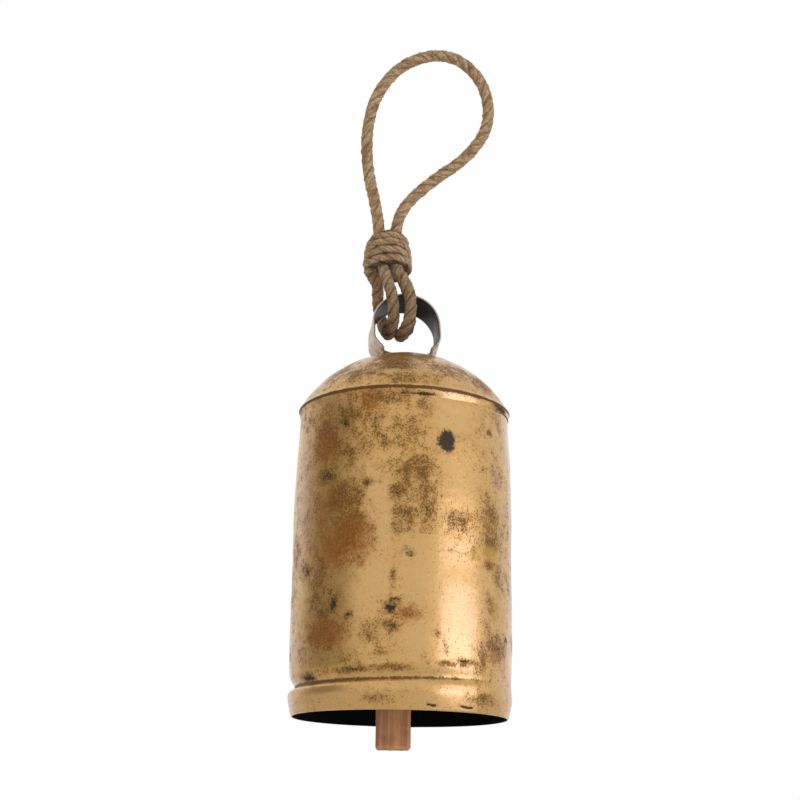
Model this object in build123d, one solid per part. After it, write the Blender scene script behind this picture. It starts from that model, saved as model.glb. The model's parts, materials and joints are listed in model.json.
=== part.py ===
from build123d import *
import os
from math import cos, hypot, pi, radians, sin, sqrt, tan

# A sheet-iron yard bell on a rope: a rolled shell with a domed crown, a strip bail, a wooden clapper
# on a wire stirrup, and one rope that is doubled through the bail and whipped into a hanging loop.
# Millimetres. +Z is up, -Y is the front. The origin is the underside of the rope loop's top, where
# the bell hangs from a hook.

# ---- driving dimensions ----
bell_x = -15.6           # the bell's axis stands this far beside the hang point
bail_z = -168.0          # height of the bail's arch centre, which the rope's turns pass through
sheet = 1.2              # iron sheet of the shell and the crown

# Outer radii of the shell and their heights, from the mouth up.
mouth_radius = 60.2
mouth_flare = 0.35       # the mouth's slope outwards, per unit of height
band_radius = 62.2
band_height = 11.0
groove_radius = 60.4
groove_height = 16.5
belly_radius = 62.1
belly_height = 37.0
waist_radius = 61.6
waist_height = 95.0
neck_radius = 59.0       # the plain top that the crown's flange fits over
neck_length = 9.0
shell_height = 171.0
seam_angle = 12.0        # width of the lapped seam up the back, in degrees
seam_gap = 0.8           # between the seam's upper end and the flange

crown_rise = 35.0        # lip to the top of the dome
lip_gap = 1.35           # from the shell's upper edge up to the lip
flange_drop = 3.85       # the flange's depth below the lip

strip_width = 20.6       # the bail's strip
strip_thickness = 1.3
bail_radius = 19.15      # to the middle of the strip, at the arch
bail_x = -0.6            # the arch's centre, from the bell's axis
bail_y = 5.35
bail_rise = 15.95        # top of the dome to the arch's centre
bail_turn = 7.3          # degrees that the bail is turned about the bell's axis
bail_lean = 14.4         # degrees that it leans back
shoulder_drop = 10.5     # arch centre to where the legs turn in
shoulder_bend = 8.0
slot_drop = 16.5         # arch centre to where the legs turn down again
slot_bend = 4.0
slot_half_span = 14.0    # from the middle of the bail to each slot in the crown
tab_length = 7.5         # the clinched tabs under the crown
tab_bend = 1.2

wire = 2.8               # wire of the staple and the stirrup
wire_play = 0.3          # gap between the two wires where they hook together
hanger_x = -3.4          # the staple, stirrup and clapper hang this far from the bell's axis
staple_drop = 14.35      # top of the dome to the middle of the staple's crossbar
staple_half_span = 5.0   # to the middle of each leg
staple_bend = 2.5
foot_length = 4.0
foot_bite = 0.2          # depth of each foot's flattened, brazed face

stirrup_length = 100.0   # staple's crossbar to the pin through the clapper
stirrup_play = 0.9       # gap between the stirrup and the bar's sides
stirrup_shoulder = 15.0  # pin to where the stirrup's sides turn in
stirrup_neck = 60.0      # pin to where the two sides run together
corner_bend = 3.1        # bend radii of the stirrup's lower corners and of its sides
side_bend = 30.0

clapper_width = 19.4     # square wooden bar
clapper_length = 120.0
clapper_edge = 2.4       # chamfer along the bar
clapper_end = 1.4        # chamfer round its ends
pin_depth = 10.0         # the bar's upper end to the hole through it
pin_play = 0.6           # gap round the wire in the hole

rope = 6.35              # quarter-inch laid rope
arc_share = 0.45         # share of a run that the arc at each of its ends may take
knot_x = -26.8
knot_y = 10.0
knot_top = -110.5
knot_width = 29.0
knot_depth = 27.0
knot_corner = 11.3
wraps = 3
wrap_pitch = 6.6         # height from one wrap of the whipping to the next
wrap_overlap = 1.0       # the wraps are pressed together by this much
wrap_round = 3.0

# The rope's route in three stretches. The first and last point of each are inside the knot.
hang_loop_route = [
    (-32, 10, -113), (-34, 9, -94), (-40, 7, -70), (-41, 4, -44), (-35, 2, -19.5),
    (-17.5, 0.5, 0), (9, 0, 5), (29, 1.5, -12), (33.5, 4, -39), (19.5, 5.5, -60),
    (-2, 7, -74.5), (-20.5, 8.5, -92.5), (-23, 10, -113),
]
left_turn_route = [
    (-31, 5.5, -128), (-28.5, 0, -136), (-25, -5, -144), (-23, -6, -154), (-22.5, -4, -164),
    (-25, 4, -168.5), (-28, 13, -167.5), (-31, 21.5, -163), (-33, 26.5, -154), (-32.5, 25.5, -145),
    (-32, 20, -136), (-31.5, 15, -128),
]
right_turn_route = [
    (-22.5, 5.5, -128), (-18.5, 0, -136), (-14.5, -4.5, -144), (-12.5, -5.5, -154), (-12.5, -4, -165),
    (-13, 4, -170.5), (-14.5, 13, -169), (-16.5, 21.5, -163), (-18, 26, -154), (-18.5, 24.5, -145),
    (-20, 20, -136), (-21.5, 15, -128),
]

# ---- sizes that follow from them; heights are above the mouth's plane ----
neck_height = shell_height - neck_length
lip_height = shell_height + lip_gap
flange_foot = lip_height - flange_drop
lip_radius = neck_radius + sheet
dome_top = lip_height + crown_rise
dome_radius = (lip_radius**2 + crown_rise**2) / (2 * crown_rise)
dome_centre = dome_top - dome_radius
dome_inside = dome_radius - sheet
bail_height = dome_top + bail_rise
bell_base = Location((bell_x, 0, bail_z - bail_height))
wire_radius = wire / 2
eye_radius = wire + wire_play
staple_height = dome_top - staple_drop
pin_height = staple_height - stirrup_length
stirrup_half_span = clapper_width / 2 + stirrup_play + wire_radius
standing = (Align.CENTER, Align.CENTER, Align.MIN)


def dome_underside(radius):
    """Height of the crown's inner face at a distance from the bell's axis."""
    return dome_centre + sqrt(dome_inside**2 - radius**2)


def shell_face(outer_shift, top):
    """The sheet's cross-section, moved outwards by outer_shift and ending at the height top."""
    # Each point is an outer radius and a height, with the outline's direction there.
    outline = [
        (mouth_radius, 0, (mouth_flare, 1)),
        (band_radius, band_height, (0, 1)),
        (groove_radius, groove_height, (0, 1)),
        (belly_radius, belly_height, (0, 1)),
        (waist_radius, waist_height, (0, 1)),
        (neck_radius, neck_height, (0, 1)),
    ]
    directions = [direction for r, z, direction in outline]
    outer = [(r + outer_shift, z) for r, z, direction in outline]
    inner = [(r - sheet, z) for r, z in outer]
    outside = Spline(outer, tangents=directions) + Line(outer[-1], (outer[-1][0], top))
    inside = Spline(inner, tangents=directions) + Line(inner[-1], (inner[-1][0], top))
    mouth_edge = Line(outer[0], inner[0])
    top_edge = Line(outside @ 1, inside @ 1)
    return make_face(outside + inside + mouth_edge + top_edge)


def body_shell():
    """The rolled sheet, with the lap of its seam standing proud up the back."""
    shell = revolve(Plane.XZ * shell_face(0, shell_height), axis=Axis.Z)
    lap_face = Plane.XZ * shell_face(sheet, flange_foot - seam_gap)
    lap = revolve(lap_face, axis=Axis.Z, revolution_arc=seam_angle)
    lap = Rot(0, 0, 90 - seam_angle / 2) * lap
    return bell_base * (shell + lap)


def ball(radius):
    return Pos(0, 0, dome_centre) * Sphere(radius)


def crown_dome(bail):
    """A spherical cap with a short flange that fits over the shell's neck, slotted for the bail."""
    neck_top = dome_underside(neck_radius)
    column = Pos(0, 0, flange_foot) * Cylinder(lip_radius, crown_rise + flange_drop, align=standing)
    neck_room = Pos(0, 0, flange_foot) * Cylinder(neck_radius, neck_top - flange_foot, align=standing)
    above_neck = Pos(0, 0, neck_top) * Cylinder(lip_radius, crown_rise, align=standing)
    crown = (column & ball(dome_radius)) - neck_room - (ball(dome_inside) & above_neck)
    return bell_base * crown - bail


def bail_plane():
    """The plane of the bail's arch: its x axis spans the arch and its y axis points up the bail."""
    turn = radians(bail_turn)
    lean = radians(bail_lean)
    across = Vector(cos(turn), sin(turn), 0)
    through = Vector(sin(turn) * cos(lean), -cos(turn) * cos(lean), sin(lean))
    centre = Vector(bell_x + bail_x, bail_y, bail_z)
    return Plane(origin=centre, x_dir=across, z_dir=through)


def tab_drop(across):
    """Arch centre to a clinched tab's middle, where it just clears the underside of the crown."""
    half_width = strip_width / 2
    lean = radians(bail_lean)
    top = dome_underside(hypot(across, half_width)) - half_width * sin(lean)
    return (bail_height - top + strip_thickness / 2) / cos(lean)


def bail_strip():
    """Flat strip bent to an arch, its legs drawn in, put through the crown and clinched outwards."""
    tab_end = slot_half_span + tab_length
    leg_points = [
        (bail_radius, 0),
        (bail_radius, -shoulder_drop),
        (slot_half_span, -slot_drop),
        (slot_half_span, -tab_drop(slot_half_span)),
        (tab_end, -tab_drop(tab_end)),
    ]
    bend_radii = [shoulder_bend, slot_bend, tab_bend]
    right_leg = FilletPolyline(*leg_points, radius=bend_radii)
    left_leg = FilletPolyline(*[(-u, w) for u, w in leg_points], radius=bend_radii)
    arch = CenterArc((0, 0), bail_radius, 0, 180)
    middle = right_leg + arch + left_leg
    section = trace(middle.edges(), strip_thickness)
    strip = extrude(section, strip_width / 2, both=True)
    return bail_plane().location * strip


def wire_along(path, diameter):
    """A round bar along a path of straight runs and arcs."""
    return sweep((path ^ 0) * Circle(diameter / 2), path=path)


def clapper_staple():
    """A wire staple with its feet turned out and brazed flat to the underside of the crown."""
    def foot_z(x):
        return dome_underside(x) - wire_radius + foot_bite

    left = hanger_x - staple_half_span
    right = hanger_x + staple_half_span
    path = FilletPolyline(
        (left - foot_length, 0, foot_z(left - foot_length)),
        (left, 0, foot_z(left)),
        (left, 0, staple_height),
        (right, 0, staple_height),
        (right, 0, foot_z(right)),
        (right + foot_length, 0, foot_z(right + foot_length)),
        radius=staple_bend,
    )
    return bell_base * (wire_along(path, wire) & ball(dome_inside))


def clapper_stirrup():
    """A wire loop: hooked over the staple's crossbar above, and through the clapper below."""
    def side(sign):
        return FilletPolyline(
            (hanger_x, sign * wire_play, pin_height),
            (hanger_x, sign * stirrup_half_span, pin_height),
            (hanger_x, sign * stirrup_half_span, pin_height + stirrup_shoulder),
            (hanger_x, sign * eye_radius, pin_height + stirrup_neck),
            (hanger_x, sign * eye_radius, staple_height),
            radius=[corner_bend, side_bend, side_bend],
        )

    eye = ThreePointArc(
        (hanger_x, -eye_radius, staple_height),
        (hanger_x, 0, staple_height + eye_radius),
        (hanger_x, eye_radius, staple_height),
    )
    path = Wire((side(-1) + eye + side(1)).edges())
    return bell_base * wire_along(path, wire)


def clapper():
    """A square wooden bar with its edges broken, drilled across near the top for the stirrup."""
    bar = Box(clapper_width, clapper_width, clapper_length, align=standing)
    bar = chamfer(bar.edges().filter_by(Axis.Z), clapper_edge)
    faces = bar.faces().sort_by(Axis.Z)
    bar = chamfer(faces[0].edges() + faces[-1].edges(), clapper_end)
    bar = Pos(hanger_x, 0, pin_height + pin_depth - clapper_length) * bar
    hole = Cylinder(wire_radius + pin_play, 2 * clapper_width, rotation=(90, 0, 0))
    return bell_base * (bar - Pos(hanger_x, 0, pin_height) * hole)


def rope_tube(name, route):
    """A tube along straight runs joined by arcs, each arc as large as its two runs allow."""
    points = [Vector(*p) for p in route]
    radii = []
    for before, here, after in zip(points, points[1:], points[2:]):
        turn = radians((here - before).get_angle(after - here))
        shorter = min((here - before).length, (after - here).length)
        radii.append(arc_share * shorter / tan(turn / 2))
    path = FilletPolyline(*points, radius=radii)
    tube = wire_along(path, rope)
    expected = pi * (rope / 2) ** 2 * path.length
    print(f"{name}: {path.length:.1f} long, volume {tube.volume:.0f} of {expected:.0f}, radii",
          " ".join(f"{r:.0f}" for r in radii))
    return tube


def rope_knot(tubes):
    """The outer shape of the whipping: wraps pressed together round the strands they bind."""
    wrap_height = wrap_pitch + wrap_overlap
    wrap = extrude(RectangleRounded(knot_width, knot_depth, knot_corner), wrap_height)
    faces = wrap.faces().sort_by(Axis.Z)
    wrap = fillet(faces[0].edges() + faces[-1].edges(), wrap_round)
    knot = Part()
    for turn in range(wraps):
        top = knot_top - turn * wrap_pitch
        knot += Pos(knot_x, knot_y, top - wrap_height) * wrap
    for tube in tubes:
        knot -= tube
    return knot


def main():
    os.makedirs("parts", exist_ok=True)
    bail = bail_strip()
    hang_loop = rope_tube("hang loop", hang_loop_route)
    left_turn = rope_tube("left turn", left_turn_route)
    right_turn = rope_tube("right turn", right_turn_route)
    parts = {
        "body_shell": body_shell(),
        "crown_dome": crown_dome(bail),
        "bail_strip": bail,
        "clapper_staple": clapper_staple(),
        "clapper_stirrup": clapper_stirrup(),
        "clapper": clapper(),
        "rope_hang_loop": hang_loop,
        "rope_turn_left": left_turn,
        "rope_turn_right": right_turn,
        "rope_knot": rope_knot([hang_loop, left_turn, right_turn]),
    }
    for name, solid in parts.items():
        export_step(solid, f"parts/{name}.step")


main()
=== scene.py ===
import json
from math import cos, pi, radians, sin, sqrt

import bmesh
import bpy
import numpy as np
from bpy.props import FloatProperty, FloatVectorProperty, IntProperty, PointerProperty
from mathutils import Matrix, Vector


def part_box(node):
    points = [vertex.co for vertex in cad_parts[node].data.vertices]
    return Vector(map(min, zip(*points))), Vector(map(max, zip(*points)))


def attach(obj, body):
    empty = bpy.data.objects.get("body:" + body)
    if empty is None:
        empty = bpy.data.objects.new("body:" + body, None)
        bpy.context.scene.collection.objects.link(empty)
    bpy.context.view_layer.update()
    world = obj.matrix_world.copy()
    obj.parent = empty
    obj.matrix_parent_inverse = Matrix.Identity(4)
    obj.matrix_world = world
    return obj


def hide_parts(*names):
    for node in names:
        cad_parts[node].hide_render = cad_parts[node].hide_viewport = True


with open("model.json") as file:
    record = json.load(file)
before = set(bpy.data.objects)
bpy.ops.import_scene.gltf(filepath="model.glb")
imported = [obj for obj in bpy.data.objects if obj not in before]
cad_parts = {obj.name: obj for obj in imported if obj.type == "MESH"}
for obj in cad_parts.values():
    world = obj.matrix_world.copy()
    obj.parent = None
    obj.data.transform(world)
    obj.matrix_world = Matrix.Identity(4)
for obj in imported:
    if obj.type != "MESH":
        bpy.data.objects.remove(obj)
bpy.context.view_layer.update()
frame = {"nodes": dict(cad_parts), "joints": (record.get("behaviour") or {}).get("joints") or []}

bl_info = {
    "name": "Yard dinner bell",
    "version": (1, 0, 0),
    "blender": (4, 5, 0),
    "location": "3D View > Sidebar > Dinner Bell",
    "description": "Surfaces, rope and finishes of a sheet-iron dinner bell, built round its CAD frame",
    "category": "Object",
}

MM = 0.001

# ---- what the CAD frame says; heights on the bell are measured up from its mouth ----
shell_low, shell_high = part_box("body_shell")
crown_low, crown_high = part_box("crown_dome")
bar_low, bar_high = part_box("clapper")
knot_low, knot_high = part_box("rope_knot")
joint_places = {joint["name"]: Vector(joint["pos_m"]) for joint in frame["joints"]}
joint_axes = {joint["name"]: Vector(joint["axis"]) for joint in frame["joints"]}
AXIS_X = (shell_low.x + shell_high.x) / 2
MOUTH_Z = shell_low.z
SHELL_TOP = shell_high.z - MOUTH_Z
LIP_RADIUS = (crown_high.x - crown_low.x) / 2
CROWN_TOP = crown_high.z - MOUTH_Z
FLANGE_FOOT = crown_low.z - MOUTH_Z

# ---- the rope's route, in metres: the control points of one spline ----
RIGHT_TURN = [
    (-0.0225, 0.0055, -0.128), (-0.0185, 0, -0.136), (-0.0145, -0.0045, -0.144),
    (-0.0125, -0.0055, -0.154), (-0.0135, -0.004, -0.165), (-0.0183, 0.004, -0.1705),
    (-0.019, 0.013, -0.169), (-0.0145, 0.0215, -0.163), (-0.0125, 0.026, -0.154),
    (-0.0132, 0.0245, -0.145), (-0.016, 0.02, -0.136), (-0.0195, 0.015, -0.128),
]
HANG_LOOP = [
    (-0.023, 0.01, -0.113), (-0.0205, 0.0085, -0.0925), (-0.002, 0.007, -0.0745),
    (0.0195, 0.0055, -0.06), (0.0335, 0.004, -0.039), (0.029, 0.0015, -0.012),
    (0.009, 0, 0.005), (-0.0175, 0.0005, 0), (-0.035, 0.002, -0.0195),
    (-0.041, 0.004, -0.044), (-0.0395, 0.007, -0.07), (-0.0333, 0.009, -0.094),
    (-0.0315, 0.01, -0.113),
]
LEFT_TURN = [
    (-0.0295, 0.0055, -0.128), (-0.0278, 0, -0.136), (-0.025, -0.005, -0.144),
    (-0.023, -0.006, -0.154), (-0.0225, -0.004, -0.164), (-0.0245, 0.004, -0.1688),
    (-0.0257, 0.013, -0.168), (-0.0278, 0.0215, -0.163), (-0.0305, 0.0265, -0.154),
    (-0.0325, 0.0255, -0.145), (-0.032, 0.02, -0.136),
]
ROPE_START = (-0.0225, 0.007, -0.118)
RIGHT_CORE = (-0.022, 0.0135, -0.12)
LEFT_CORE = (-0.0318, 0.008, -0.12)
TAIL = [
    (-0.0195, 0.0145, -0.1153), (-0.0243, 0.0183, -0.1163), (-0.0303, 0.0178, -0.1153),
    (-0.0348, 0.0135, -0.1145), (-0.0368, 0.0075, -0.1135),
]


# =============================== settings ===============================

def length(name, description, default, **more):
    return FloatProperty(name=name, description=description, default=default,
                         subtype="DISTANCE", unit="LENGTH", precision=5, **more)


def colour(name, description, default):
    return FloatVectorProperty(name=name, description=description, default=default,
                               subtype="COLOR", size=3, min=0.0, max=1.0)


def share(name, description, default):
    return FloatProperty(name=name, description=description, default=default,
                         subtype="FACTOR", min=0.0, max=1.0)


def angle(name, description, default):
    return FloatProperty(name=name, description=description, default=default,
                         subtype="ANGLE", unit="ROTATION")


class BellSizes(bpy.types.PropertyGroup):
    sheet: length("Sheet", "Thickness of the iron sheet", 1.2 * MM)
    lap: angle("Lap", "Width of the lapped seam up the back", radians(12))
    joggle: angle("Joggle", "Width of the step before the lap", radians(7))
    lap_gap: length("Lap gap", "From the lap's upper end up to the flange", 0.8 * MM)
    dent: length("Dents", "Depth of the unevenness left by rolling and hammering", 0.3 * MM)
    groove: length("Groove", "Mean depth of the groove above the mouth band", 1.75 * MM)
    groove_drift: length("Groove drift", "How far the groove's depth drifts round the bell", 1.45 * MM)
    flange_wave: length("Flange wave", "Height of the waves along the flange's lower edge", 0.3 * MM)
    lip_lift: length("Lip lift", "How much higher the lip stands at the front", 2.6 * MM)
    tuck: length("Tuck", "How far the flange's edge is beaten in at the front", 1.05 * MM)
    crown_rise: length("Crown rise", "Lip to the top of the dome", 35 * MM)
    braze: length("Braze", "Height of the braze round the bail's legs", 1.0 * MM)
    fillet: length("Fillet", "Height of the braze inside the arch", 3.0 * MM)
    fillet_reach: length("Fillet reach", "How far the braze runs in from a leg", 8.5 * MM)
    columns: IntProperty(name="Columns", description="Steps round the bell", default=300, min=48)


class BailSizes(bpy.types.PropertyGroup):
    width: length("Width", "Width of the strip", 20.6 * MM)
    thickness: length("Thickness", "Thickness of the strip", 1.3 * MM)
    radius: length("Arch radius", "To the middle of the strip", 19.15 * MM)
    leg_span: length("Leg span", "Middle of the bail to each leg", 14.0 * MM)
    shoulder_drop: length("Shoulder drop", "Arch centre to where the legs turn in", 10.5 * MM)
    slot_drop: length("Slot drop", "Arch centre to where the legs turn down again", 16.5 * MM)
    tab_drop: length("Tab drop", "Arch centre to the clinched tabs", 22.6 * MM)
    tab_slope: length("Tab slope", "How much lower a tab's end lies", 2.9 * MM)
    tab: length("Tab", "Length of the clinched tabs", 7.5 * MM)
    burr: length("Burr", "Unevenness of the sheared edges", 0.16 * MM)


class RopeSizes(bpy.types.PropertyGroup):
    diameter: length("Diameter", "Over the strands", 6.35 * MM)
    loft: length("Loft", "How far loose fibres swell the rope", 0.3 * MM)
    pitch: length("Lay", "Length in which a strand goes once round", 23 * MM)
    strand_offset: share("Strand offset", "Strand centre to rope centre, in diameters", 0.078)
    yarn: length("Yarns", "Relief of the yarns on each strand", 0.13 * MM)
    wrap_x: length("Wrap radius across", "From the knot's middle to a wrap's middle", 11.3 * MM)
    wrap_y: length("Wrap radius through", "From the knot's middle to a wrap's middle", 10.0 * MM)
    wrap_tilt: length("Wrap tilt", "How far the wraps rise to the front", 4.5 * MM)
    hairs: IntProperty(name="Hairs", description="How many loose fibres stand off", default=9000, min=0)
    hair: length("Hair length", "Mean length of a loose fibre", 1.25 * MM)


class ClapperSizes(bpy.types.PropertyGroup):
    edge: length("Edge", "Width of the broken edges", 2.2 * MM)
    hole: length("Hole", "Radius of the drilled hole", 2.0 * MM)
    rough: length("Roughness", "Unevenness of the sawn faces", 0.16 * MM)


class Finishes(bpy.types.PropertyGroup):
    gold: colour("Gold", "Rubbed braze", (0.605, 0.35, 0.112))
    dull: colour("Dull gold", "Braze under a thin film", (0.36, 0.183, 0.045))
    # Also the colour of the painted shade in the groove, the seams and under the lip.
    brown: colour("Brown", "Oxide specks and clouds", (0.12, 0.054, 0.016))
    copper: colour("Copper", "Patches burnt red", (0.37, 0.13, 0.02))
    yellow: colour("Yellow", "Flecks of yellow braze", (0.54, 0.31, 0.06))
    rose: colour("Rose", "Rosy film near the sides", (0.52, 0.3, 0.19))
    # Black scale, and the painted shade under the lip.
    soot_and_lip_shade: colour("Soot", "Black scale", (0.03, 0.025, 0.017))
    # Near-black inside: blackened iron, made darker as painted shade.
    lining_and_shade: colour("Lining", "Blackened inside", (0.0014, 0.0012, 0.001))
    # Dark inner face, made darker as painted shade inside the arch.
    steel: colour("Steel", "Dark face of the bail", (0.022, 0.02, 0.019))
    steel_streak: colour("Steel streaks", "Brushed streaks inside the arch", (0.075, 0.07, 0.066))
    washed: colour("Washed steel", "Outer face of the bail", (0.66, 0.55, 0.42))
    washed_blotch: colour("Washed blotches", "Duller blotches on that face", (0.5, 0.4, 0.29))
    bail_foot: colour("Bail foot", "Braze drawn up the bail's legs", (0.30, 0.2, 0.11))
    wire: colour("Wire", "Wire of the staple and the stirrup", (0.2, 0.17, 0.14))
    wire_streak: colour("Wire streaks", "Darker streaks along the wire", (0.1, 0.09, 0.08))
    rust: colour("Rust", "Rust on the wire", (0.13, 0.055, 0.025))
    wood: colour("Wood", "Early wood of the clapper", (0.68, 0.31, 0.13))
    late_wood: colour("Late wood", "Darker grain of the clapper", (0.43, 0.18, 0.072))
    pores: colour("Pores", "Open pores of the wood", (0.07, 0.03, 0.016))
    handled: colour("Handling dirt", "Dirt on the wood and its sawn ends", (0.16, 0.07, 0.035))
    jute: colour("Jute", "Mean colour of the rope", (0.36, 0.22, 0.105))
    pale_jute: colour("Pale jute", "Bleached fibres", (0.6, 0.43, 0.24))
    red_jute: colour("Red jute", "Reddish yarns", (0.25, 0.105, 0.045))
    # Also painted shade in the grooves between strands and between the wraps.
    dark_jute: colour("Dark jute", "Dirt between the strands", (0.065, 0.033, 0.015))


class StageSettings(bpy.types.PropertyGroup):
    camera_place: FloatVectorProperty(
        name="Camera place", description="Where the camera stands", subtype="TRANSLATION",
        unit="LENGTH", size=3, precision=5, default=(-0.01819, -1.07715, -0.47743))
    camera_pitch: angle("Camera pitch", "How far the camera looks up", 0.243149)
    camera_roll: angle("Camera roll", "How far the camera is rolled", 0.0164)
    lens: FloatProperty(name="Lens", description="Focal length", default=87.03, subtype="DISTANCE_CAMERA")
    sensor: FloatProperty(name="Sensor", description="Width of the sensor", default=36.0,
                          subtype="DISTANCE_CAMERA")
    floor_drop: length("Floor drop", "From the clapper's lower end down to the floor", 0.21)
    floor_reach: length("Floor reach", "From the middle of the floor to its sides", 4.0)
    floor_tone: colour("Floor tone", "Pale floor", (0.8, 0.8, 0.8))
    floor_tooth: colour("Floor tooth", "Faint tooth of the paper", (0.7, 0.7, 0.7))
    room: FloatProperty(name="Room", description="Brightness of the room round the bell", default=0.96)
    shade: FloatProperty(name="Shade", description="Brightness of the dark side of the room", default=0.3)
    dark_side: FloatVectorProperty(name="Dark side", description="Which way the dark side lies",
                                   subtype="DIRECTION", size=3, default=(-0.996, -0.087, 0.0))
    key: FloatProperty(name="Key", description="Brightness of the large soft box", default=1.85)
    key_colour: FloatVectorProperty(name="Key colour", description="Colour of the soft box", size=3,
                                    subtype="COLOR", min=0.0, max=2.0, default=(0.94, 0.97, 1.42))
    key_bearing: angle("Key bearing", "Soft box, round to the right of the bell's front", radians(60))
    key_distance: length("Key distance", "Soft box to the bell's axis", 1.25)
    key_rise: length("Key rise", "Height of the soft box above the bell's mouth", 0.01)
    key_width: length("Key width", "Width of the soft box", 0.95)
    key_height: length("Key height", "Height of the soft box", 0.56)


# =============================== surfaces ===============================

def unit(way):
    return way / np.linalg.norm(way, axis=-1, keepdims=True)


def smooth(value, low, high):
    """0 below low, 1 above high, and an S-shaped cubic between them."""
    t = np.clip((value - low) / (high - low), 0, 1)
    return t * t * (3 - 2 * t)


def hump(distance, width):
    """1 at no distance, falling off on both sides as a bell curve of that width."""
    return np.exp(-(distance / width) ** 2)


def most(*fields):
    """The greatest of the fields at each point."""
    return np.maximum.reduce(np.broadcast_arrays(*fields))


def vectors(*parts):
    """Vectors at each point, of one number from each part."""
    return np.stack(np.broadcast_arrays(*parts), axis=-1)


def unevenness(points, wavelength, seed, waves=22):
    """About -1 to 1: the sum of plane waves of nearly one wavelength, in random directions and phases."""
    random = np.random.default_rng(seed)
    directions = unit(random.normal(size=(waves, 3)))
    numbers = 2 * pi / wavelength * random.uniform(0.65, 1.45, size=(waves, 1))
    phases = random.uniform(0, 2 * pi, size=waves)
    return np.sin(points @ (directions * numbers).T + phases).sum(-1) / sqrt(waves)


def curve_through(x, knots):
    """Smooth curve through knots of (x, value): each span is the cubic with the knots' mean slopes."""
    xs, values = np.array(knots, float).T
    slopes = np.gradient(values, xs)
    span = np.clip(np.searchsorted(xs, x) - 1, 0, len(xs) - 2)
    width = xs[span + 1] - xs[span]
    t = np.clip((x - xs[span]) / width, 0, 1)
    start = (1 + 2 * t) * (1 - t) ** 2 * values[span] + t * (1 - t) ** 2 * width * slopes[span]
    end = t * t * (3 - 2 * t) * values[span + 1] + t * t * (t - 1) * width * slopes[span + 1]
    return start + end


def quads(columns, rows, around_columns=False, around_rows=False):
    """Faces between neighbouring points of a grid whose points are numbered row by row in each column."""
    column = np.arange(columns if around_columns else columns - 1)[:, None]
    row = np.arange(rows if around_rows else rows - 1)[None, :]
    next_column = (column + 1) % columns
    next_row = (row + 1) % rows
    corners = [column * rows + row, next_column * rows + row,
               next_column * rows + next_row, column * rows + next_row]
    return np.stack([c.ravel() for c in corners], axis=1)


def fan(rim, centre):
    """Triangles from a closed rim of point numbers to one centre point."""
    rim = np.asarray(rim)
    return np.stack([rim, np.roll(rim, -1), np.full(len(rim), centre)], axis=1)


def tube_faces(stations, loop):
    """Faces of a row of closed loops that is closed at each end by a fan to an end point. The two end
    points are numbered after the loops."""
    count = stations * loop
    rim = np.arange(loop)
    return [quads(stations, loop, around_rows=True), fan(rim, count), fan(rim + count - loop, count + 1)]


def with_ends(grid, ends):
    """The points of a grid, or the values at them, followed by those of its two end points."""
    ends = np.asarray(ends, float)
    return np.r_[grid.reshape(-1, *ends.shape[1:]), ends]


def make_mesh(name, points, faces, attributes=None):
    """A smooth mesh with its faces turned outwards, from points, a list of face arrays, and values or
    vectors by point."""
    points = np.asarray(points, float).reshape(-1, 3)
    loops = np.concatenate([f.ravel() for f in faces])
    counts = np.concatenate([np.full(len(f), f.shape[1]) for f in faces])
    mesh = bpy.data.meshes.new(name)
    mesh.vertices.add(len(points))
    mesh.vertices.foreach_set("co", points.ravel())
    mesh.loops.add(len(loops))
    mesh.loops.foreach_set("vertex_index", loops)
    mesh.polygons.add(len(counts))
    mesh.polygons.foreach_set("loop_start", np.cumsum(counts) - counts)
    mesh.update(calc_edges=True)
    if mesh.validate():
        raise RuntimeError(f"{name}: its faces had to be corrected")
    for key, values in (attributes or {}).items():
        values = np.asarray(values, float)
        kind = "FLOAT" if values.size == len(points) else "FLOAT_VECTOR"
        field = "value" if kind == "FLOAT" else "vector"
        mesh.attributes.new(key, kind, "POINT").data.foreach_set(field, values.ravel())
    turned = bmesh.new()
    turned.from_mesh(mesh)
    bmesh.ops.recalc_face_normals(turned, faces=turned.faces)
    turned.to_mesh(mesh)
    turned.free()
    mesh.shade_smooth()
    return mesh


def add_piece(name, mesh, material, body, nodes=()):
    """An object at the origin that rides on a body, stands for its CAD nodes and has its finish."""
    piece = bpy.data.objects.new(name, mesh)
    bpy.context.scene.collection.objects.link(piece)
    mesh.materials.clear()
    mesh.materials.append(material)
    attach(piece, body)
    if nodes:
        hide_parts(*nodes)
    return piece


def on_bell(bearing, radius, height):
    """Points by bearing from the front, distance from the bell's axis and height above its mouth."""
    return vectors(AXIS_X + radius * np.sin(bearing), -radius * np.cos(bearing), MOUTH_Z + height)


# =============================== shading ===============================

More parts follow.
